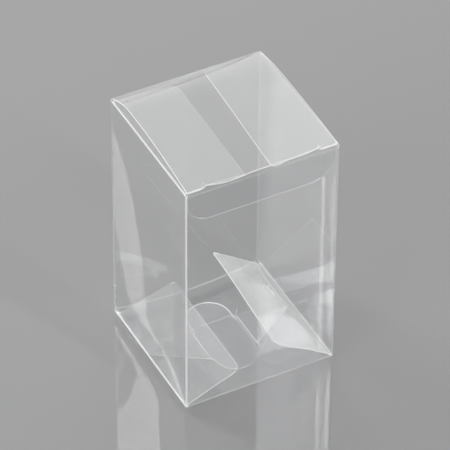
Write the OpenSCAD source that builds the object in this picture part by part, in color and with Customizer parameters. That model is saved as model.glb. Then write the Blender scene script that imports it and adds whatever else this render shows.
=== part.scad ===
// Clear folding box: one die-cut sheet of plastic film, folded and glued into
// a tall box, with a tuck-in lid and a bottom that locks without glue.
// The box stands at the origin: X runs along the front wall, Y towards the
// back wall and Z up. Sizes are in millimetres.

/* [Box] */
// Width of the box, along the front wall
box_w = 60; // [50:1:90]
// Depth of the box, front to back
box_d = 59; // [50:1:90]
// Height of the four walls
wall_h = 100; // [70:1:160]
// How far the front wall stops below the top creases
front_drop = 1; // [0.6:0.1:2]

/* [Film] */
// Thickness of the film
film = 0.3; // [0.2:0.05:0.4]

/* [Lid] */
// Height of the lid's crown above its hinge crease
crown_h = 3.9; // [3:0.1:6]
// Distance of the crown from the hinge crease
crown_in = 16; // [12:0.5:24]
// Height of the lid's front crease above its hinge crease
crease_h = 1.6; // [1.2:0.1:2.4]
// Gap between the lid's side edge and the wall's inner face
lid_side_gap = 0.3; // [0.2:0.05:0.8]
// Gap under the hinge crease
hinge_gap = 0.2; // [0.15:0.05:0.3]
// Length of the slit at each end of the front crease
slit_l = 7.4; // [5:0.1:11]
// Depth of the small notch at the inner end of each slit
notch_l = 1.7; // [1:0.1:3]
// Width of the notch and height of the slit
notch_w = 0.8; // [0.6:0.1:1.2]

/* [Tuck flap] */
// Depth of the tuck flap
tuck_h = 12.3; // [9:0.1:16]
// Radius of its lower corners
tuck_r = 10; // [4:0.5:11]
// Gap between the tuck flap and the front wall
tuck_gap = 0.2; // [0.15:0.05:0.4]
// Gap between the tuck flap's ends and the glued seam
tuck_side_gap = 0.3; // [0.2:0.05:1]

/* [Top dust flaps] */
// Length of each top dust flap
dust_l = 24; // [15:0.5:24.5]
// Radius of its back corner
dust_r = 2.5; // [1:0.5:4]
// Setback of its back edge at the crease
dust_back = 1.6; // [1.2:0.1:3]
// Slope of its back edge, over the flap's length
dust_slant = 2; // [0:0.1:4]
// Gap between its front edge and the tuck flap's path
dust_gap = 0.3; // [0.2:0.05:1]
// Width of the shoulder beside its crease
dust_shoulder = 6.8; // [4:0.1:10]
// Step from the shoulder back to the front edge
dust_step = 1; // [0.5:0.1:2]

/* [Bottom lock] */
// How far the locked flaps hang below the walls
bottom_sag = 2.5; // [1.5:0.1:4]
// Run over which a bottom flap falls from its crease to the flat
fall_run = 9.5; // [6:0.5:9.5]
// Gap between the side walls and the front and back bottom flaps
lock_side_gap = 1.2; // [0.6:0.1:2]
// Gap between the layers of the lock
lock_gap = 0.1; // [0.08:0.01:0.2]
// How far short of the centre line each flap's side edge ends
lock_corner = 3; // [0:0.5:8]
// Half width of the lock, at the inner ends of the slanted edges
throat_w = 9.2; // [9:0.1:12]
// Distance from the centre line to the back flap's throat
throat_y = 9.4; // [7:0.1:11]
// Distance from the centre line to the ends of its two slits
slit_end = 8; // [6:0.1:10]
// Width of the slits
slit_w = 0.3; // [0.2:0.05:0.6]
// Run over which its lobes climb over the front flap
lobe_run = 1.5; // [1:0.1:2.5]
// Radius of the nose on the back flap's tongue
nose_r = 8.2; // [6:0.1:8.6]
// Straight start of the nose
nose_neck = 0.6; // [0:0.1:1]
// Radius of the head on the front flap's tongue
head_r = 8.4; // [6:0.1:8.6]
// Distance from the centre line to the middle of the head's arc
head_y = 11; // [8:0.1:11]

/* [Bottom side flaps] */
// Length of each bottom side flap
side_l = 24; // [15:0.5:26]
// Angle at which the left one stands up
left_angle = 19; // [5:1:40]
// Angle at which the right one stands up
right_angle = 31; // [5:1:40]
// Height of their creases above the bottom edge of the walls
side_root = 0.9; // [0.7:0.1:2]
// Setback of their front edge
side_front = 0.8; // [0.5:0.1:2]
// Setback of their back edge
side_back = 3.2; // [1:0.1:5]
// Radius of the front corner
side_front_r = 5; // [2:0.5:8]
// Radius of the back corner
side_back_r = 1.5; // [1:0.1:4]

/* [Seam] */
// Width of the glued seam
seam_w = 12; // [8:0.5:16]
// Distance of the seam's ends from the creases
seam_end = 1.2; // [1:0.1:3]
// Rise of the seam's slanted ends
seam_slant = 4; // [0:0.5:8]

/* [Hidden] */
$fn = 48;
arc_fn = 720;
eps = 0.05;
half_w = box_w / 2;
half_d = box_d / 2;
half_film = film / 2;

// Walls
bend_r = 2 * film;
wall_z = bottom_sag;
rim_z = wall_z + wall_h;

// Hinge crease of the lid, in the middle of the back wall's film
hinge_y = half_d - half_film;
hinge_z = rim_z - half_film;

// Lid: two arcs that meet level at the crown
lid_half_w = half_w - film - lid_side_gap;
lid_reach = hinge_y + half_d - film - tuck_gap;
back_arc_r = (pow(crown_in, 2) + pow(crown_h, 2)) / (2 * crown_h);
front_run = lid_reach - crown_in;
front_fall = crown_h - crease_h;
front_arc_r = (pow(front_run, 2) + pow(front_fall, 2)) / (2 * front_fall);
crease_y = hinge_y - lid_reach;
crease_z = hinge_z + crease_h;

// Tuck flap: it leans in so that its lower edge clears the front wall
tuck_half_w = half_w - 2 * film - tuck_side_gap;
tuck_drop = tuck_h - crease_h;
tuck_lean = lid_reach - sqrt(pow(lid_reach, 2) - pow(tuck_drop, 2));
tuck_bulge = pow(tuck_h, 2) / (8 * lid_reach);

// Top dust flaps
dust_front = 2 * film + tuck_gap + tuck_bulge + dust_gap;

// Bottom lock: the back flap's tongue is lowest, the front flap lies on it,
// and the back flap's two lobes lie on the front flap
lock_half_w = half_w - lock_side_gap;
lock_flat = half_d - fall_run;
front_flap_z = film + lock_gap;
lobe_z = 2 * front_flap_z;
front_throat = slit_end - lobe_run - film;

// A rectangle with four round corners
module rounded_plan(w, d, r) {
    square([w - 2 * r, d], center = true);
    square([w, d - 2 * r], center = true);
    for (x = [-1, 1], y = [-1, 1])
        translate([x * (w / 2 - r), y * (d / 2 - r)]) circle(r);
}

// Turns a profile drawn in Y and Z into a bar along X
module along_x(length) {
    rotate([90, 0, 90])
        translate([0, 0, -length / 2]) linear_extrude(length) children();
}

// Turns an outline drawn in X and Z into a bar along Y
module along_y(length) {
    rotate([90, 0, 0])
        translate([0, 0, -length / 2]) linear_extrude(length) children();
}

// A strip of film along an arc over the origin, from x0 to x1
module arc_strip(r, x0, x1) {
    intersection() {
        difference() {
            circle(r + half_film, $fn = arc_fn);
            circle(r - half_film, $fn = arc_fn);
        }
        translate([x0, 0]) square([x1 - x0, r + film]);
    }
}

// Four walls, low at the front and open under the hinge crease
module walls() {
    difference() {
        translate([0, 0, wall_z]) linear_extrude(wall_h)
            rounded_plan(box_w, box_d, bend_r);
        translate([0, 0, wall_z - 1]) linear_extrude(wall_h + 2)
            rounded_plan(box_w - 2 * film, box_d - 2 * film, bend_r - film);
        translate([-half_w + bend_r, -half_d - 1, rim_z - front_drop])
            cube([box_w - 2 * bend_r, 1 + 2 * film, front_drop + 1]);
        translate([-half_w + film, half_d - 2 * film, rim_z - film - hinge_gap])
            cube([box_w - 2 * film, 1 + 2 * film, film + hinge_gap + 1]);
    }
}

// Glue flap of the front wall, bonded inside the left wall
module glued_seam() {
    low = wall_z + seam_end;
    high = rim_z - seam_end;
    front = -half_d + half_film;
    back = front + seam_w;
    translate([-half_w + 1.5 * film, 0, 0]) along_x(film + eps)
        polygon([
            [front, low], [back, low + seam_slant],
            [back, high - seam_slant], [front, high]
        ]);
}

// Outline of the left top dust flap, drawn from its crease
module dust_outline() {
    front = -half_d + dust_front;
    back = half_d - dust_back;
    corner = [dust_l - dust_r, back - dust_slant - dust_r];
    difference() {
        union() {
            polygon([
                [0, front], [dust_shoulder, front], [dust_shoulder + dust_step, front + dust_step],
                [dust_l, front + dust_step], [dust_l, corner[1]], corner, [0, corner[1]]
            ]);
            polygon([[0, corner[1]], corner, [corner[0], corner[1] + dust_r], [0, back]]);
            translate(corner) circle(dust_r);
        }
        translate([-dust_l, -box_d]) square([dust_l, 2 * box_d]);
    }
}

// One top dust flap; side is -1 for the left and 1 for the right
module top_dust_flap(side) {
    mirror([side > 0 ? 1 : 0, 0, 0])
        translate([-half_w + half_film, 0, rim_z - film]) linear_extrude(film) dust_outline();
}

// Profile of a bottom flap that falls from the front crease to a flat
module fall_profile(flat_z, end_y) {
    slope = (wall_z - flat_z) / (half_d - lock_flat);
    rise = film * sqrt(1 + pow(slope, 2));
    polygon([
        [-half_d, wall_z], [-lock_flat, flat_z], [end_y, flat_z],
        [end_y, flat_z + film], [-lock_flat, flat_z + film], [-half_d, wall_z + rise]
    ]);
}

// Outline of a bottom flap, with slanted edges that end at the throat
module lock_outline(throat) {
    polygon([
        [-lock_half_w, -half_d], [lock_half_w, -half_d], [lock_half_w, -lock_corner],
        [throat_w, throat], [-throat_w, throat], [-lock_half_w, -lock_corner]
    ]);
}

// Round end of a tongue, from the centre line
module tongue_end(r, y) {
    translate([-r, 0]) square([2 * r, y]);
    translate([0, y]) circle(r);
}

// Front bottom flap: flat, with a tongue that lies on the back flap
module front_bottom_flap() {
    intersection() {
        along_x(box_w) fall_profile(front_flap_z, half_d);
        linear_extrude(rim_z) {
            lock_outline(front_throat);
            tongue_end(head_r, head_y);
        }
    }
}

// Back bottom flap: two slits part its tongue from its lobes
module back_bottom_flap() {
    tongue_w = throat_w - slit_w / 2;
    mirror([0, 1, 0]) {
        intersection() {
            along_x(box_w) fall_profile(0, half_d);
            linear_extrude(rim_z) {
                difference() {
                    lock_outline(throat_y);
                    translate([-half_w, -slit_end]) square([box_w, box_d]);
                }
                translate([-tongue_w, -slit_end - film])
                    square([2 * tongue_w, slit_end + film + throat_y]);
                tongue_end(nose_r, throat_y + nose_neck);
            }
        }
        intersection() {
            along_x(box_w) polygon([
                [-slit_end - film, 0], [-slit_end, 0], [lobe_run - slit_end, lobe_z],
                [half_d, lobe_z], [half_d, lobe_z + film], [lobe_run - slit_end, lobe_z + film],
                [-slit_end, film], [-slit_end - film, film]
            ]);
            linear_extrude(rim_z) difference() {
                lock_outline(throat_y);
                translate([-throat_w - slit_w / 2, -slit_end])
                    square([2 * throat_w + slit_w, box_d]);
            }
        }
    }
}

// Outline of a bottom side flap, drawn from its crease
module side_outline() {
    front = -half_d + side_front;
    back = half_d - side_back;
    front_corner = [side_l - side_front_r, front + side_front_r];
    back_corner = [side_l - side_back_r, back - side_back_r];
    translate([0, front]) square([front_corner[0], back - front]);
    translate([0, front_corner[1]]) square([side_l, back_corner[1] - front_corner[1]]);
    translate([0, back_corner[1]]) square([back_corner[0], side_back_r]);
    translate(front_corner) circle(side_front_r);
    translate(back_corner) circle(side_back_r);
}

// One bottom side flap, sprung up off the bottom by its crease
module bottom_side_flap(side, angle) {
    mirror([side > 0 ? 1 : 0, 0, 0])
        translate([-half_w + half_film, 0, wall_z + side_root])
            rotate([0, -angle, 0])
                translate([0, 0, -half_film]) linear_extrude(film) side_outline();
}

module box_body() {
    color([0.86, 0.88, 0.9, 0.35]) {
        walls();
        glued_seam();
        top_dust_flap(-1);
        top_dust_flap(1);
        front_bottom_flap();
        back_bottom_flap();
        bottom_side_flap(-1, left_angle);
        bottom_side_flap(1, right_angle);
    }
}

// Arched panel of the lid, drawn from its hinge crease towards the front
module lid_panel() {
    intersection() {
        translate([0, hinge_y, hinge_z]) mirror([0, 1, 0]) along_x(box_w) {
            translate([crown_in, crown_h - back_arc_r]) arc_strip(back_arc_r, -crown_in, 0);
            translate([crown_in, crown_h - front_arc_r])
                arc_strip(front_arc_r, 0, front_run + half_film);
        }
        translate([0, 0, wall_z]) linear_extrude(2 * wall_h) difference() {
            square([2 * lid_half_w, box_d], center = true);
            for (side = [-1, 1]) translate([side * (half_w - slit_l), crease_y]) {
                square([notch_w, 2 * notch_l - notch_w], center = true);
                translate([0, notch_l - notch_w / 2]) circle(notch_w / 2);
            }
        }
    }
}

// Tuck flap, held by the lid's front crease between the two slits
module tuck_flap() {
    low_y = crease_y + tuck_lean;
    low_z = crease_z - tuck_h;
    held_w = box_w - 2 * slit_l - notch_w;
    intersection() {
        along_x(box_w) polygon([
            [crease_y - half_film, crease_z], [crease_y + half_film, crease_z],
            [low_y + half_film, low_z], [low_y - half_film, low_z]
        ]);
        along_y(2 * box_d) difference() {
            translate([0, crease_z - tuck_h / 2]) {
                translate([0, tuck_r / 2]) square([2 * tuck_half_w, tuck_h - tuck_r], center = true);
                square([2 * (tuck_half_w - tuck_r), tuck_h], center = true);
                for (x = [-1, 1])
                    translate([x * (tuck_half_w - tuck_r), tuck_r - tuck_h / 2]) circle(tuck_r);
            }
            for (x = [-1, 1])
                translate([x * (held_w + box_w) / 2, crease_z])
                    square([box_w, 2 * notch_w], center = true);
        }
    }
    translate([0, crease_y, crease_z]) along_x(held_w) circle(half_film);
}

module lid() {
    color([0.9, 0.92, 0.94, 0.35]) {
        lid_panel();
        tuck_flap();
        translate([0, hinge_y, hinge_z]) along_x(2 * lid_half_w) circle(half_film);
    }
}

box_body();
lid();
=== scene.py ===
# %% [markdown]
# # A clear folding box, seen in the studio
# The real thing is one die-cut sheet of clear plastic film. It is scored,
# folded round and glued along one hidden edge. The construction model gives
# its solids and its moving lid. This lesson dresses that model: it cuts the
# film again as thin bent sheets, because clear film is told by its edges,
# its folds and what it mirrors, and those need soft bows that flat solids
# don't have.

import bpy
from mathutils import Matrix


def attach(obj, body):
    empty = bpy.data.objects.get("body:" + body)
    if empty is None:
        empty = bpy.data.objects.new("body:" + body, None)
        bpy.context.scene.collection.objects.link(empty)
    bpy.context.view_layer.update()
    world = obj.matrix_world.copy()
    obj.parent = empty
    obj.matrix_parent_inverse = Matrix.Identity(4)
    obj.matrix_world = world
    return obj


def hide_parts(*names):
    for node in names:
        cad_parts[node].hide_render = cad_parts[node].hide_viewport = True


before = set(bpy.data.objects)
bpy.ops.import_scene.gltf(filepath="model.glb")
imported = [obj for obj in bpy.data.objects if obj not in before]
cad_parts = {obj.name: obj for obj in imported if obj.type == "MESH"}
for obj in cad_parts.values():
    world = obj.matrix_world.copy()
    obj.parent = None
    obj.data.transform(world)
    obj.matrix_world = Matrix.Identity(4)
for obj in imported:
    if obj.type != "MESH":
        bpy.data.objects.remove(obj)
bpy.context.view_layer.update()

# %% [markdown]
# ## Sizes
# Every length below is in millimetres, because that is how a box maker
# thinks. A mesh is made in millimetres too and scaled to metres once, when
# it is finished. All sheets are drawn along the middle of the film.

# %% Sizes of the film box
import math

import bmesh
import bpy
from mathutils import Matrix, Vector

MM = 0.001
FILM = 0.3
EDGE_W = 0.1
OUTSIDE = (30.0, 29.5)  # how far the film's faces may stand from the middle
WALL_X = 29.85
WALL_Y = 29.35
FOOT_Z = 2.65
RIM_Z = 102.35
FRONT_RIM_Z = 101.5
BACK_RIM_Z = 102.05
print("walls stand from", FOOT_Z, "to", RIM_Z, "mm")

# %% [markdown]
# ## Camera
# A product photograph like this one is taken from far away with a long lens,
# so the upright edges stay nearly parallel. The camera stands a good metre
# off, to the left of the front and looking down at 41 degrees. It comes
# first, so that each piece can be judged in the same frame.

# %% The camera
AZIMUTH, ELEVATION, ROLL = (math.radians(a) for a in (-27.63, 41.29, 0.38))
CAMERA_DISTANCE = 1389.9
TARGET = Vector((0, 0, 52.5))
PICTURE_W = 450
FOCAL_PX = 3888.8
TARGET_PX = (223.3, 229.5)


def camera_axes(azimuth, elevation, roll):
    back = Vector((math.sin(azimuth) * math.cos(elevation),
                   -math.cos(azimuth) * math.cos(elevation), math.sin(elevation)))
    level = Vector((math.cos(azimuth), math.sin(azimuth), 0))
    up = back.cross(level)
    right = level * math.cos(roll) + up * math.sin(roll)
    return right, back.cross(right), back


def make_camera():
    data = bpy.data.cameras.new("camera")
    data.sensor_width = 36
    data.lens = FOCAL_PX / PICTURE_W * data.sensor_width
    data.shift_x = 0.5 - TARGET_PX[0] / PICTURE_W
    data.shift_y = TARGET_PX[1] / PICTURE_W - 0.5
    data.clip_start, data.clip_end = 0.05, 20
    camera = bpy.data.objects.new("camera", data)
    bpy.context.scene.collection.objects.link(camera)
    right, up, back = camera_axes(AZIMUTH, ELEVATION, ROLL)
    turn = Matrix((right, up, back)).transposed().to_4x4()
    camera.matrix_world = Matrix.Translation((TARGET + back * CAMERA_DISTANCE) * MM) @ turn
    bpy.context.scene.camera = camera
    return camera


camera = make_camera()
print("camera lens", round(camera.data.lens), "mm")

# %% [markdown]
# ## Shader maths in plain Python
# A node tree for a material is easier to read as a formula. This small
# class wraps one socket, so that `a * b + 1` makes the Math nodes. Any other
# node comes from one method that sets its options first and its sockets
# after.


# %% A socket that does maths
class Wire:
    def __init__(self, tree, socket):
        self.tree, self.socket = tree, socket

    def math(self, operation, other, flipped=False):
        node = self.tree.nodes.new("ShaderNodeMath")
        node.operation = operation
        first, second = (other, self) if flipped else (self, other)
        for slot, value in zip(node.inputs, (first, second)):
            plug(self.tree, slot, value)
        return Wire(self.tree, node.outputs[0])

    def __add__(self, other): return self.math("ADD", other)
    def __radd__(self, other): return self.math("ADD", other, True)
    def __mul__(self, other): return self.math("MULTIPLY", other)
    def __rmul__(self, other): return self.math("MULTIPLY", other, True)
    def __pow__(self, other): return self.math("POWER", other)


def plug(tree, slot, value):
    if isinstance(value, Wire):
        tree.links.new(value.socket, slot)
    else:
        slot.default_value = value


class Finish:
    """One material: its tree, and a method that adds any node."""

    def __init__(self, name):
        self.material = bpy.data.materials.new(name)
        self.material.use_nodes = True
        self.tree = self.material.node_tree
        self.tree.nodes.clear()

    def node(self, kind, out=0, settings=(), **sockets):
        node = self.tree.nodes.new("ShaderNode" + kind)
        for key, value in dict(settings).items():
            setattr(node, key, value)
        for key, value in sockets.items():
            plug(self.tree, node.inputs[key.replace("_", " ")], value)
        return Wire(self.tree, node.outputs[out])

    def mix(self, share, first, second):
        node = self.tree.nodes.new("ShaderNodeMixShader")
        for slot, value in zip(node.inputs, (share, first, second)):
            plug(self.tree, slot, value)
        return Wire(self.tree, node.outputs[0])

    def done(self, surface):
        out = self.tree.nodes.new("ShaderNodeOutputMaterial")
        plug(self.tree, out.inputs["Surface"], surface)
        return self.material


print("shader maths ready")

# %% [markdown]
# ## The film
# Clear film does three things to light. Most goes straight through. A share
# is mirrored, more at a grazing angle, by both faces of the film. A very
# small share scatters, which gives a faint veil. Layer Weight's Facing
# gives the angle, and its fifth power is Schlick's rule for the mirrored
# share. The veil is broken up by a soft noise, because extruded film is
# never quite even, with fine lines along the way it was drawn. Folds and cut
# edges are the same film with much more veil, and a little painted glow
# stands for the light that the film leads to its edges. How bright each fold
# looks in the studio light is painted in as well. Each sheet carries a
# number on its points, a painted highlight that scales its veil and glow.

# %% Film, creases and cut edges
MIRROR_AT_NORMAL = 0.042
FILM_TINT = (0.993, 0.994, 0.995, 1)
CLOUD_SCALE = 38.0
DRAWN_SCALE = (900.0, 900.0, 14.0)
WHITE = (1, 1, 1, 1)
CREASE_LOOK, EDGE_LOOK = 1, 2  # places of the whitened finishes, after the plain film


def clear_film(name, veil, uneven, roughness, painted_glow=0.0, by_fold=True):
    look = Finish(name)
    place = look.node("TexCoord", out=3)
    cloud = look.node("TexNoise", Vector=place, Scale=CLOUD_SCALE, Detail=2.0)
    stretched = look.node("Mapping", Vector=place, Scale=DRAWN_SCALE)
    drawn = look.node("TexNoise", Vector=stretched, Scale=1.0, Detail=1.0)
    grazing = look.node("LayerWeight", out=1, Blend=0.5)
    mirrored = MIRROR_AT_NORMAL + (1 - MIRROR_AT_NORMAL) * grazing ** 5.0
    veiled = veil + uneven * (cloud * 0.7 + drawn * 0.3)
    # Painted highlight: each fold's veil and glow are scaled by a number on its points, set by how
    # much light that fold catches
    if by_fold:
        veiled = veiled * look.node("Attribute", out=2, settings={"attribute_name": "painted_glint"})
    through = look.node("BsdfTransparent", Color=FILM_TINT)
    mirror = look.node("BsdfGlossy", Color=WHITE, Roughness=roughness)
    # Painted glow: the white share emits a little light of its own, though the film is no lamp
    white = look.node("BsdfPrincipled", Base_Color=(0.93, 0.935, 0.94, 1), Roughness=0.4,
                      Emission_Color=WHITE, Emission_Strength=painted_glow)
    return look.done(look.mix(veiled, look.mix(mirrored, through, mirror), white))


film = clear_film("clear_film", veil=0.01, uneven=0.02, roughness=0.02, by_fold=False)
# Creases and cut edges are whitened film, with a painted glow and a painted highlight on top
crease = clear_film("whitened_crease_painted_glow", veil=0.3, uneven=0.4, roughness=0.2, painted_glow=0.3)
cut_edge = clear_film("whitened_cut_edge_painted_glow", veil=0.8, uneven=0.2, roughness=0.25, painted_glow=0.4)
# Solidify's rim takes the finish that is EDGE_LOOK places after its face's own
SHEET_FINISHES = (film, crease, cut_edge, cut_edge)
print("finishes:", [m.name for m in (film, crease, cut_edge)])

# %% [markdown]
# ## Cutting a blank
# Each panel starts as one flat face, like the die-cut blank. Vertex bevels
# round its corners, and an inset leaves a narrow ring along its edge, where
# the knife has whitened the film. The ring also carries a painted glow and a
# painted highlight. Straight cuts with `bisect_plane` then
# divide the panel along the lines where it will bend, so that it can curve.

# %% Helpers that cut a blank
CUT_NEAR = 1e-4


def blank(corners, rounded=()):
    """A flat panel; each rounded corner is given as x, y, radius and segments."""
    bm = bmesh.new()
    bm.faces.new([bm.verts.new((x, y, 0)) for x, y in corners])
    for x, y, radius, segments in rounded:
        spot = min(bm.verts, key=lambda v: (v.co - Vector((x, y, 0))).length)
        bmesh.ops.bevel(bm, geom=[spot], offset=radius, segments=segments, profile=0.5,
                        affect="VERTICES", material=-1)
    rim = bmesh.ops.inset_region(bm, faces=bm.faces[:], thickness=EDGE_W, use_boundary=True,
                                 use_even_offset=True)["faces"]
    # Whitened cut edge, with a painted glow and a painted highlight in its finish
    for face in rim:
        face.material_index = EDGE_LOOK
    return bm


def knife(bm, axis, places):
    across = Vector([float(i == axis) for i in range(3)])
    for place in places:
        bmesh.ops.bisect_plane(bm, geom=bm.verts[:] + bm.edges[:] + bm.faces[:], dist=CUT_NEAR,
                               plane_co=across * place, plane_no=across)


def steps(low, high, count):
    return [low + (high - low) * i / count for i in range(count + 1)]


print("evenly spaced cuts:", steps(0, 6, 3))


# %% Helpers that bend and join panels
def bend(bm, rule):
    for v in bm.verts:
        v.co = Vector(rule(*v.co))


def join(target, part):
    mesh = bpy.data.meshes.new("part")
    part.to_mesh(mesh)
    part.free()
    target.from_mesh(mesh)
    bpy.data.meshes.remove(mesh)


def smoothstep(t):
    t = min(1, max(0, t))
    return t * t * (3 - 2 * t)


print("a soft step, half way:", smoothstep(0.5))

# %% Cuts that all panels share, so that neighbours meet point to point
# The closer ones across the width carry the ripple in the front wall.
X_CUTS = steps(-28.8, 28.8, 24) + [22.5, 23.1, 23.7, 24.3, 24.9, 25.5]
Y_CUTS = steps(-27.6, 27.6, 23)
Z_CUTS = steps(5, 100, 24)
REACH_CUTS = steps(2, 22, 10)

# Front and back ends of the dust flaps, and of the bottom side flaps
DUST_Y = (-28.08, 27.9)
SIDE_Y = (-28.7, 26.3)
FLAP_CUTS = Y_CUTS + [*DUST_Y, *SIDE_Y]
print("shared cuts:", len(X_CUTS), len(Y_CUTS), len(Z_CUTS))

# %% [markdown]
# ## Giving the film its thickness
# Real film has two faces and a cut rim, and each of them mirrors light. So
# the joined panels are welded, bent and given their thickness by Solidify,
# half to each side. Its corner points stand out a little past a sharp fold,
# so they are drawn back to the box's faces.

# %% From joined panels to a sheet of film
SHARP_ANGLE = math.radians(35)
WELD = 0.01


def sheet_object(name, bm, body, painted_glint, shape=None, replaced=None):
    """Welds the panels, writes the painted highlight of their folds and edges, gives the film its
    thickness.
    """
    bmesh.ops.remove_doubles(bm, verts=bm.verts[:], dist=WELD)
    # Painted highlight: how brightly each point's fold or edge is drawn
    layer = bm.verts.layers.float.new("painted_glint")
    for v in bm.verts:
        v[layer] = painted_glint(*v.co)
    if shape:
        bend(bm, shape)
    bmesh.ops.recalc_face_normals(bm, faces=bm.faces[:])
    for face in bm.faces:
        face.smooth = True
    bmesh.ops.scale(bm, vec=(MM, MM, MM), verts=bm.verts[:])
    mesh = bpy.data.meshes.new(name)
    bm.to_mesh(mesh)
    bm.free()
    for finish in SHEET_FINISHES:
        mesh.materials.append(finish)
    piece = bpy.data.objects.new(name, mesh)
    bpy.context.scene.collection.objects.link(piece)
    shell = piece.modifiers.new("film", "SOLIDIFY")
    shell.thickness = FILM * MM
    shell.offset = 0
    shell.use_even_offset = True
    shell.material_offset_rim = EDGE_LOOK
    thick = bpy.data.meshes.new_from_object(
        piece.evaluated_get(bpy.context.evaluated_depsgraph_get()))
    piece.modifiers.clear()
    piece.data = thick
    thick.name = name
    for v in thick.vertices:
        for axis, limit in enumerate(OUTSIDE):
            v.co[axis] = min(limit * MM, max(-limit * MM, v.co[axis]))
    bpy.data.meshes.remove(mesh)
    thick.set_sharp_from_angle(angle=SHARP_ANGLE)
    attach(piece, body)
    if replaced:
        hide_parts(replaced)
    print(f"{name}: {len(thick.polygons)} faces")


print("film is", FILM, "mm thick")

# %% [markdown]
# ## Four walls
# The walls are one strip of film that goes round the box. A ring of four
# edges is extruded upwards, and its upright folds are bevelled to the small
# radius that a scored fold has. The same bevel marks them as whitened film.
# The front and the back are then trimmed a little lower than the sides.

# %% The four walls
CREASE_HALF = 0.4
FOLD_RADIUS = 0.45
SIDE_RIM_X, SIDE_RIM_Y = 29.5, 28


def fold_band(bm, axis, places, half=CREASE_HALF, inside=lambda c: True):
    """Marks the faces whose middle is nearer than `half` to a fold line."""
    for face in bm.faces:
        c = face.calc_center_median()
        if inside(c) and any(abs(c[axis] - p) < half for p in places):
            face.material_index = CREASE_LOOK


def fold_line(bm, start, end, width):
    """Cuts a narrow whitened strip along a line of a flat blank."""
    start, end = Vector((*start, 0)), Vector((*end, 0))
    along = (end - start).normalized()
    across = Vector((-along.y, along.x, 0))

    def near(face, reach):
        c = face.calc_center_median() - start
        return -reach < c.dot(along) < (end - start).length + reach and abs(c.dot(across)) < reach

    for side in (-1, 1):
        here = [f for f in bm.faces if near(f, 3)]
        geom = list({g for f in here for g in [f, *f.edges, *f.verts]})
        bmesh.ops.bisect_plane(bm, geom=geom, dist=CUT_NEAR, plane_no=across,
                               plane_co=start + across * side * width / 2)
    for face in bm.faces:
        c = face.calc_center_median() - start
        if abs(c.dot(across)) < width / 2 and 0 < c.dot(along) < (end - start).length:
            face.material_index = CREASE_LOOK


def four_walls():
    bm = bmesh.new()
    ring = [bm.verts.new((x, y, FOOT_Z)) for x, y in
            ((-WALL_X, -WALL_Y), (WALL_X, -WALL_Y), (WALL_X, WALL_Y), (-WALL_X, WALL_Y))]
    edges = [bm.edges.new((ring[i], ring[(i + 1) % 4])) for i in range(4)]
    raised = bmesh.ops.extrude_edge_only(bm, edges=edges)["geom"]
    bmesh.ops.translate(bm, vec=(0, 0, RIM_Z - FOOT_Z),
                        verts=[g for g in raised if isinstance(g, bmesh.types.BMVert)])
    upright = [e for e in bm.edges if abs(e.verts[0].co.z - e.verts[1].co.z) > 1]
    bmesh.ops.bevel(bm, geom=upright, offset=FOLD_RADIUS, segments=3, profile=0.5,
                    affect="EDGES", material=CREASE_LOOK)
    knife(bm, 0, X_CUTS)
    knife(bm, 1, FLAP_CUTS)
    knife(bm, 2, Z_CUTS + [FOOT_Z + CREASE_HALF, RIM_Z - CREASE_HALF, FRONT_RIM_Z, BACK_RIM_Z])
    low = [f for f in bm.faces if abs(f.normal.y) > 0.9 and f.calc_center_median().z >
           (FRONT_RIM_Z if f.calc_center_median().y < 0 else BACK_RIM_Z)]
    bmesh.ops.delete(bm, geom=low, context="FACES")
    fold_band(bm, 2, [FOOT_Z])
    fold_band(bm, 2, [RIM_Z],
              inside=lambda c: abs(c.x) > SIDE_RIM_X and abs(c.y) < SIDE_RIM_Y)
    return bm


body = four_walls()
print("walls:", len(body.faces), "faces")

# %% [markdown]
# ## Top dust flaps
# Two flaps close the top from the left and the right. Each has a shoulder
# beside its fold, a small slanted step and a round back corner. Both hang
# down a little towards their free front corners, the right one more, as
# sprung film does.

# %% The two top dust flaps
SHOULDER, STEP = 6.8, 1.0


def dust_flap(side, front_reach, back_reach, back_y, radius, droop):
    front, back = DUST_Y
    edge = front + STEP
    bm = blank([(0, front), (SHOULDER, front), (SHOULDER + STEP, edge), (front_reach, edge),
                (back_reach, back_y), (0, back)],
               rounded=[(back_reach, back_y, radius, 6), (front_reach, edge, 1.5, 4)])
    knife(bm, 0, [CREASE_HALF] + REACH_CUTS)
    knife(bm, 1, FLAP_CUTS)
    fold_band(bm, 0, [0])

    def fall(u, y, z):
        to_front = smoothstep((25 - y) / 50)
        sag = droop * (u / front_reach) ** 1.6 * (0.15 + 0.85 * to_front)
        return side * (WALL_X - u), y, RIM_Z - sag

    bend(bm, fall)
    return bm


join(body, dust_flap(-1, 24.2, 24.4, 26.1, 2.5, 1.3))
join(body, dust_flap(1, 25.0, 23.4, 28.8, 0.8, 2.0))
print("walls and dust flaps:", len(body.faces), "faces")

# %% [markdown]
# ## Bottom side flaps
# Two more flaps turn in at the bottom. They aren't glued, so their folds
# spring them up off the floor of the box, the right one more than the left
# and more at its back than at its front.

# %% The two bottom side flaps
def side_flap(side, length, back_angle, front_angle, corner, curl):
    front, back = SIDE_Y
    bm = blank([(0, front), (length, front), (length, back), (0, back)],
               rounded=[(length, front, corner, 8), (length, back, 1.5, 5)])
    knife(bm, 0, [CREASE_HALF] + REACH_CUTS)
    knife(bm, 1, FLAP_CUTS)
    fold_band(bm, 0, [0])

    def spring(u, y, z):
        to_back = smoothstep((y - front) / (back - front))
        lift = math.radians(front_angle + (back_angle - front_angle) * to_back)
        bow = curl * math.sin(math.pi * u / length)
        return (side * (WALL_X - u * math.cos(lift) + bow * math.sin(lift)), y,
                FOOT_Z + u * math.sin(lift) + bow * math.cos(lift))

    bend(bm, spring)
    return bm


join(body, side_flap(-1, 24, 19, 19, 4, 0.25))
join(body, side_flap(1, 26, 36, 30.5, 3.5, 0.3))
print("with bottom side flaps:", len(body.faces), "faces")

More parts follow.
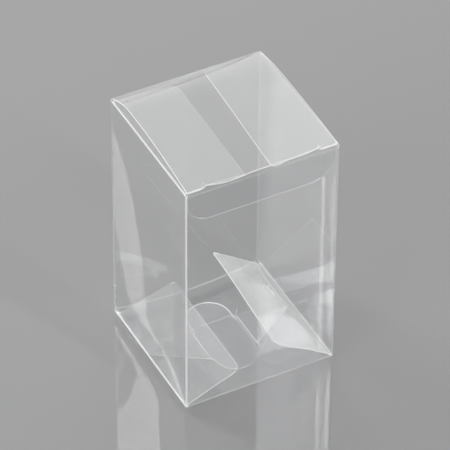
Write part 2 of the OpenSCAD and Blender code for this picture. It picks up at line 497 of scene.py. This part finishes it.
# %% [markdown]
# ## The locked bottom
# The front and back bottom flaps lock without glue. The back one has two
# slits: its tongue stays below, with a round nose in front, and its two
# lobes climb over the front flap. The front flap's round head slides in
# between. Both hang a little below the walls.

# %% The lock's sizes and its slope
FALL_END = 20
FRONT_FLAT_Z, BACK_FLAT_Z, LOBE_Z = 0.6, 0.2, 1.0
LOCK_W, THROAT_W, SLIT_END = 28.8, 9.2, 8.0
SLIT_HALF = 0.15
HEAD_R, HEAD_END = 8.4, 19.4
NOSE_R, NOSE_END = 8.2, -18.2


def falling(y, flat_z):
    """Height of a bottom flap that falls from its fold to the flat."""
    t = min(1, (WALL_Y - abs(y)) / (WALL_Y - FALL_END))
    return FOOT_Z + (flat_z - FOOT_Z) * t


def mirrored(half):
    """Closes an outline that is the same on the left as on the right."""
    return half + [(-x, y) for x, y in reversed(half)]


def round_end(radius, end):
    """The two corners that make the end of a tongue a half circle."""
    return [(side * radius, end, radius - 0.02, 12) for side in (1, -1)]


print("the front flap lies", FRONT_FLAT_Z, "mm high, the back one", BACK_FLAT_Z, "mm")


# %% The front bottom flap
def front_flap():
    wing, root = -3, 6.2
    bm = blank(mirrored([(LOCK_W, -WALL_Y), (LOCK_W, wing), (THROAT_W, root), (HEAD_R, root),
                         (HEAD_R, HEAD_END)]),
               rounded=round_end(HEAD_R, HEAD_END))
    knife(bm, 0, X_CUTS)
    knife(bm, 1, [-WALL_Y + CREASE_HALF, -27, -24, -FALL_END, -15, -10, -5, 0, 4])
    fold_band(bm, 1, [-WALL_Y])
    bend(bm, lambda x, y, z: (x, y, falling(y, FRONT_FLAT_Z) if y < 0 else FRONT_FLAT_Z))
    return bm


join(body, front_flap())
print("with the front bottom flap:", len(body.faces), "faces")


# %% The back bottom flap
def back_flap():
    wing, throat = 3, -9.4
    outer, inner = THROAT_W + SLIT_HALF, THROAT_W - SLIT_HALF
    bm = blank(mirrored([(LOCK_W, WALL_Y), (LOCK_W, wing), (outer, throat), (outer, SLIT_END),
                         (inner, SLIT_END), (inner, throat), (NOSE_R, throat),
                         (NOSE_R, NOSE_END)]),
               rounded=round_end(NOSE_R, NOSE_END))
    knife(bm, 0, X_CUTS)
    knife(bm, 1, [WALL_Y - CREASE_HALF, 27, 24, FALL_END, 15, 11, SLIT_END])
    knife(bm, 1, [7.6, 6.9, 6.5, 3, 0, -5])
    fold_band(bm, 1, [WALL_Y])
    # Small creases that the lock has pressed into the film
    fold_line(bm, (-9, 8.8), (9, 8.8), 0.3)
    fold_line(bm, (-1.8, -17.3), (8.2, -9.6), 0.3)
    fold_line(bm, (9.8, 8.4), (11.7, 10.8), 0.35)

    def lie(x, y, z):
        if y > 0 and not (abs(x) > THROAT_W and y < SLIT_END):
            return x, y, falling(y, BACK_FLAT_Z)
        climb = smoothstep((SLIT_END - y) / 1.5) if abs(x) > THROAT_W else 0
        return x, y, BACK_FLAT_Z + (LOBE_Z - BACK_FLAT_Z) * climb

    bend(bm, lie)
    return bm


join(body, back_flap())
print("whole body sheet:", len(body.faces), "faces")

# %% [markdown]
# ## Letting the film settle
# Film is never flat. The lock pulls the back wall in at its foot, and the
# tall walls bow and wave a little. One rule moves every point by where it
# is, so walls and flaps stay joined. All of the walls' bows go inwards, which
# keeps them inside the box's true size. How white a fold looks depends on the
# light that it catches, so that highlight is painted on, fold by fold.


# %% How bright each fold and edge of the body is drawn: a painted highlight
AT_WALL = 0.6
TOP_FROM = 98


# Painted highlight of the body's folds and edges, by how much light each one catches
def body_painted_glint(x, y, z):
    left, right = x < AT_WALL - WALL_X, x > WALL_X - AT_WALL
    front, back = y < AT_WALL - WALL_Y, y > WALL_Y - AT_WALL
    # Upright folds
    if (left or right) and (front or back):
        return (1.0 if left else 0.5) if front else 0.22
    # Rims and dust flaps
    if z > TOP_FROM:
        if left or right:
            return 1.0 if left else 0.35
        if front or back:
            return 0.22 if front else 0.1
        if x < 0:
            return 0.5 if y < -26 else 0.14
        return 0.75 if x < 8 and y < 27.5 else 0.5 if y < -26 else 0.06
    # Bottom folds
    if left or right:
        return 0.9 if left else 0.6
    if front or back:
        return 0.3
    # Bottom side flaps, which stand above all of the lock
    if z > 2.7:
        if x < 0:
            return 0.8 if y < -23 else 0.2 if y > 25 and x < -9 else 0.5
        return 0.45 if y > 25 and x > 12 else 0.95
    # Where the back flap lies flat, then the front flap with its head
    if z < 0.3:
        return 0.5 if y > -9.5 else 0.45 if x < 2 else 0.2
    if z < 0.8:
        return 0.6 + 0.4 * (x > 2) if y > 6.1 and abs(x) < 9 else 0.06
    # Lobes and falling slopes
    return 0.4 if abs(x) > 10 else 0.5 if x < 0 else 1.0


print("front left fold", body_painted_glint(-WALL_X, -WALL_Y, 50), "back fold", body_painted_glint(0, WALL_Y, 3))


# %% Bows and waves
FOOT_PULL, FOOT_FADE = 3.0, 14
BACK_BOW, FRONT_BOW, LEFT_BOW = 0.15, 0.55, 2.1
RIPPLE, RIPPLE_X, RIPPLE_W = 0.07, 24.2, 1.3


def settle(x, y, z):
    """Where a point of the body comes to lie; `up` is 0 at its foot and 1 at its rim."""
    up = (z - FOOT_Z) / (RIM_Z - FOOT_Z)
    belly = math.sin(math.pi * min(1, max(0, up)))
    near_back = smoothstep((abs(y) - FALL_END) / 9) * (y > 0)
    near_front = smoothstep((abs(y) - FALL_END) / 9) * (y < 0)
    near_side = smoothstep((abs(x) - 24) / 5.8)
    over_x = 1 - (x / WALL_X) ** 2
    over_y = 1 - (y / WALL_Y) ** 2
    pull = FOOT_PULL * math.exp(-max(0, z - FOOT_Z) / FOOT_FADE)
    dy = -near_back * over_x * (pull + BACK_BOW * belly)
    upright = smoothstep(up / 0.07) * (1 - smoothstep((up - 0.9) / 0.09))
    ripple = RIPPLE * (1 - math.erf((x - RIPPLE_X) / RIPPLE_W))
    dy += near_front * (1 - (x / WALL_X) ** 6) * (FRONT_BOW + ripple) * upright
    low_belly = smoothstep(up / 0.08) * (1 - up)
    dx = near_side * over_y * low_belly * LEFT_BOW * (x < 0)
    return x + dx, y + dy, z


sheet_object("film_body", body, "body", body_painted_glint, settle, "box_body")

# %% [markdown]
# ## The glued seam
# The front wall carries a narrow glue flap that turns in behind the left
# wall. It is a sheet of its own here, a hair inside that wall, and it
# follows the wall's bow. Its ends are cut at a slant.

# %% The glue flap
SEAM_GAP = 0.34
GLUE_Y = (-29.1, -17.35)
GLUE_Z = (3.7, 101.3)
GLUE_SLANT = 4.0
# Painted highlight of the glue flap's edges, kept very faint
GLUE_PAINTED_GLINT = 0.03


def glue_flap():
    (front, back), (low, high) = GLUE_Y, GLUE_Z
    bm = blank([(front, low), (back, low + GLUE_SLANT), (back, high - GLUE_SLANT),
                (front, high)])
    knife(bm, 0, steps(-27.6, -18, 4))
    knife(bm, 1, Z_CUTS)

    def stand(y, z, _):
        x, y, z = settle(-WALL_X, y, z)
        return x + SEAM_GAP, y, z

    bend(bm, stand)
    return bm


sheet_object("glue_flap", glue_flap(), "body", lambda x, y, z: GLUE_PAINTED_GLINT)

# %% [markdown]
# ## Lid and tuck flap
# The lid arches up from its hinge fold to a crown and falls gently to its
# front fold. It arches more at its left edge than at its right one, so the
# crown stands just above the construction model there. Two short slits end
# in small notches and free the ends of the tuck flap, which slips down
# behind the front wall.

# %% How the lid arches
HINGE_Y, HINGE_Z = 29.35, 102.35
CROWN_IN, CROWN_H, CREASE_H = 16, 3.9, 0.9
CROWN_SHARE, CROWN_TILT = 0.9, 0.34
SAG, SAG_X, SAG_W = 0.8, -12, 6
LID_HALF, REACH = 29.4, 58.35
HELD = 22.2
NOTCH_PULL = 0.8
BACK_R = (CROWN_IN ** 2 + CROWN_H ** 2) / (2 * CROWN_H)


def crown(x):
    """The lid arches more at its left edge than at its right edge."""
    return CROWN_H * (CROWN_SHARE - CROWN_TILT * x / LID_HALF)


def front_height(x):
    """Height of the front fold, which sags a little left of the middle."""
    return CREASE_H - SAG * math.exp(-((x - SAG_X) / SAG_W) ** 2)


def arch(x, run):
    """Height of the lid above its hinge, at this distance in front of it."""
    if run < CROWN_IN:
        return crown(x) * (1 + (math.sqrt(BACK_R ** 2 - (run - CROWN_IN) ** 2) - BACK_R) / CROWN_H)
    gone = (run - CROWN_IN) / (REACH - CROWN_IN)
    return crown(x) + (front_height(x) - crown(x)) * gone ** 2


def notch_lift(x, reach):
    """The front fold is pulled up beside its two notches."""
    near_notch = smoothstep((abs(x) - 17) / 5) * (abs(x) < HELD + 0.1)
    return NOTCH_PULL * near_notch * smoothstep(reach)


print("crown at the left", round(crown(-LID_HALF), 1), "and right", round(crown(LID_HALF), 1), "mm")

# %% The lid panel
LID_CREASE = 0.2
NOTCH_L, NOTCH_W = 1.7, 0.8


def lid_panel():
    near, far, bottom = HELD, HELD + NOTCH_W, REACH - NOTCH_L
    bm = blank(mirrored([(LID_HALF, 0), (LID_HALF, REACH), (far, REACH), (far, bottom),
                         (near, bottom), (near, REACH)]),
               rounded=[(side * x, bottom, NOTCH_W / 2 - 0.01, 3)
                        for side in (-1, 1) for x in (near, far)])
    knife(bm, 0, X_CUTS)
    knife(bm, 1, [CREASE_HALF, REACH - LID_CREASE] + steps(2, 56, 27))
    fold_band(bm, 1, [0])
    fold_band(bm, 1, [REACH], LID_CREASE, inside=lambda c: abs(c.x) < HELD)
    bend(bm, lambda x, run, z: (x, HINGE_Y - run, HINGE_Z + arch(x, run) +
                                notch_lift(x, (run - REACH + 6) / 6)))
    return bm


lid_sheet = lid_panel()
print("lid panel:", len(lid_sheet.faces), "faces")

# %% The tuck flap
TUCK_HALF, TUCK_H, TUCK_LEAN = 29.1, 15.2, 1.2
TUCK_STEP = 0.4
TUCK_LEVEL = 0.6  # height above the hinge that the flap's lower edge is measured from


def tuck_flap():
    bm = blank(mirrored([(HELD, 0), (HELD, TUCK_STEP), (TUCK_HALF, TUCK_STEP),
                         (TUCK_HALF, TUCK_H)]),
               rounded=[(side * TUCK_HALF, TUCK_H, 10, 12) for side in (-1, 1)])
    knife(bm, 0, X_CUTS)
    knife(bm, 1, [LID_CREASE, TUCK_STEP, 2, 4, 6, 8, 10])
    fold_band(bm, 1, [0], LID_CREASE, inside=lambda c: abs(c.x) < HELD)
    top_y = HINGE_Y - REACH

    def hang(x, down, z):
        t = down / TUCK_H
        top_z = HINGE_Z + front_height(x) * (1 - t) + TUCK_LEVEL * t
        return x, top_y + TUCK_LEAN * t, top_z - down + notch_lift(x, (3 - down) / 3)

    bend(bm, hang)
    return bm


join(lid_sheet, tuck_flap())
print("lid with its tuck flap:", len(lid_sheet.faces), "faces")


# %% How bright each fold and edge of the lid is drawn: a painted highlight
# Painted highlight of the lid's folds and edges, by how much light each one catches
def lid_painted_glint(x, y, z):
    run = HINGE_Y - y
    if run < 1:
        return 0.12
    # Notches, front fold, tuck flap and the lid's front and side edges
    if run > REACH - NOTCH_L - 0.2 and HELD - 0.15 < abs(x) < HELD + NOTCH_W + 0.15:
        return 0.45
    if z > HINGE_Z + front_height(x) - 0.35 and run > REACH - 2:
        return 0.95
    if z < HINGE_Z - 1:
        return 0.25
    if run > REACH - 2:
        return 0.6
    return 1.0 if x < 0 else 0.4


sheet_object("film_lid", lid_sheet, "lid", lid_painted_glint, None, "lid")

# %% [markdown]
# ## Floor and light
# The floor is plain and pale, with a thin polished coat that mirrors the box
# faintly. Clear film shows only what it mirrors, so the lights are soft
# panels behind and beside the box, as in any studio that takes pictures of
# glass. Two narrow strips among them make the crisp bands on the walls.


# %% Floor
FLOOR_REACH = 6.0  # metres
FLOOR_COLOUR = (0.34, 0.34, 0.343, 1)


def make_floor():
    bm = bmesh.new()
    bmesh.ops.create_grid(bm, x_segments=1, y_segments=1, size=FLOOR_REACH)
    mesh = bpy.data.meshes.new("floor")
    bm.to_mesh(mesh)
    bm.free()
    floor = bpy.data.objects.new("floor", mesh)
    bpy.context.scene.collection.objects.link(floor)
    look = Finish("pale_floor")
    mesh.materials.append(look.done(look.node(
        "BsdfPrincipled", Base_Color=FLOOR_COLOUR, Roughness=0.35, Specular_IOR_Level=0.1,
        Coat_Weight=1.0, Coat_Roughness=0.03, Coat_IOR=1.5)))


make_floor()
print("floor in place")


# %% Lights
def soft_panel(name, azimuth, elevation, distance, width, height, radiance):
    """A light that faces the box from a direction, azimuth 0 behind it, sizes in metres."""
    a, e = math.radians(azimuth), math.radians(elevation)
    way = Vector((math.sin(a) * math.cos(e), math.cos(a) * math.cos(e), math.sin(e)))
    data = bpy.data.lights.new(name, "AREA")
    data.shape = "RECTANGLE"
    data.size, data.size_y = width, height
    data.energy = radiance * math.pi * width * height
    lamp = bpy.data.objects.new(name, data)
    bpy.context.scene.collection.objects.link(lamp)
    lamp.location = TARGET * MM + way * distance
    lamp.rotation_euler = way.to_track_quat("Z", "Y").to_euler()
    lamp.visible_camera = False


soft_panel("panel_back_left", -24, 42, 1.3, 0.6, 0.9, 1.8)
soft_panel("strip_back_left", -30.9, 44, 3.0, 0.275, 2.4, 8.0)
soft_panel("panel_back_right", 28, 38, 1.2, 1.0, 1.2, 1.15)
soft_panel("panel_low_right", 50, 4, 1.4, 0.9, 0.3, 1.8)
soft_panel("panel_low_back", 12, 4, 1.4, 0.9, 0.3, 0.75)
soft_panel("strip_front_right", 160.6, 42, 3.0, 0.15, 1.0, 28.0)
soft_panel("panel_front_left", -118, 38, 1.1, 0.5, 0.6, 3.5)

scene = bpy.context.scene
world = bpy.data.worlds.new("studio")
scene.world = world
world.use_nodes = True
background = world.node_tree.nodes["Background"]
background.inputs["Color"].default_value = WHITE
background.inputs["Strength"].default_value = 0.22

scene.view_settings.view_transform = "Standard"
scene.cycles.transparent_max_bounces = 48
print("lights in place")
